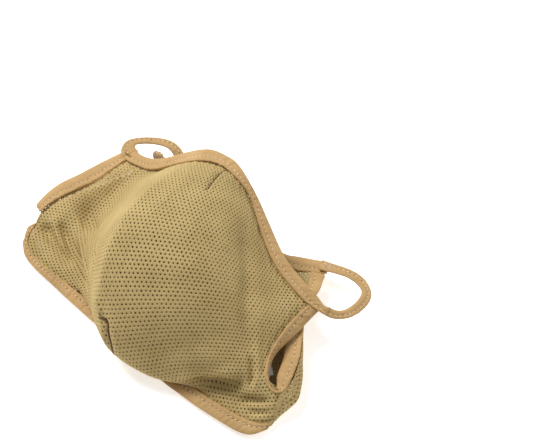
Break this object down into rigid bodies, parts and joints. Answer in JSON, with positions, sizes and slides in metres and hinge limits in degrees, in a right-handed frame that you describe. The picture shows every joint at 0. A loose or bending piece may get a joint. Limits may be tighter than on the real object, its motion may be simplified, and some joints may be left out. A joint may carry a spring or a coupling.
{
  "type": "face mask",
  "caption": "Soft half-face mask in perforated mesh knit with a moulded nose and chin cup, bound ear slits and sewn ear loops, lying on its back panel.",
  "frame": {"origin": "on the resting surface, at the middle of the footprint", "axes": "+X across the face, +Y from the chin hem to the nose edge, +Z away from the wearer, up as it lies"},
  "size_m": [0.2597, 0.1683, 0.0774],
  "materials": {
    "mesh": "matte coyote-tan perforated mesh knit",
    "tape": "smooth folded binding tape, slight sheen",
    "thread": "spun sewing thread",
    "label": "blank woven satin label"
  },
  "bodies": {
    "back": {"back_panel": "mesh", "centre_back_seam": "thread", "nape_binding": "tape", "back_hem": "tape"},
    "face": {"face_panel": "mesh", "side_panel_left": "mesh", "side_panel_right": "mesh", "nose_binding": "tape", "nape_end_left": "tape", "nape_end_right": "tape", "ear_binding_left": "tape", "ear_binding_right": "tape", "front_hem": "tape", "hem_end_left": "tape", "hem_end_right": "tape", "nose_dart": "thread", "chin_dart": "thread", "nose_topstitch": "thread", "hem_topstitch": "thread", "ear_topstitch_left": "thread", "ear_topstitch_right": "thread", "front_bartack_left": "thread", "front_bartack_right": "thread", "back_bartack_left": "thread", "back_bartack_right": "thread", "tape_tail_left": "tape", "tape_tail_right": "tape", "label_stitch": "thread"},
    "left_loop": {"left_ear_loop": "tape"},
    "right_loop": {"right_ear_loop": "tape"},
    "label": {"size_label": "label"}
  },
  "joints": [
    {"name": "face_lift", "type": "slide", "parent": "back", "child": "face", "axis": [0, 0, 1], "range_m": [0, 0.03]},
    {"name": "left_loop_swing", "type": "hinge", "parent": "face", "child": "left_loop", "pos_m": [-0.1091, 0.0537, 0.0207], "axis": [0.8252, 0.5066, -0.2497], "range_deg": [-10, 100], "stiffness_Nm_per_rad": 0.01},
    {"name": "right_loop_swing", "type": "hinge", "parent": "face", "child": "right_loop", "pos_m": [0.1058, 0.0327, 0.028], "axis": [0.5771, -0.7694, 0.2739], "range_deg": [-15, 80], "stiffness_Nm_per_rad": 0.01},
    {"name": "label_flap", "type": "hinge", "parent": "face", "child": "label", "pos_m": [0.0882, -0.017, 0.0122], "axis": [0.6428, 0.766, 0], "range_deg": [0, 25], "stiffness_Nm_per_rad": 0.0005}
  ]
}
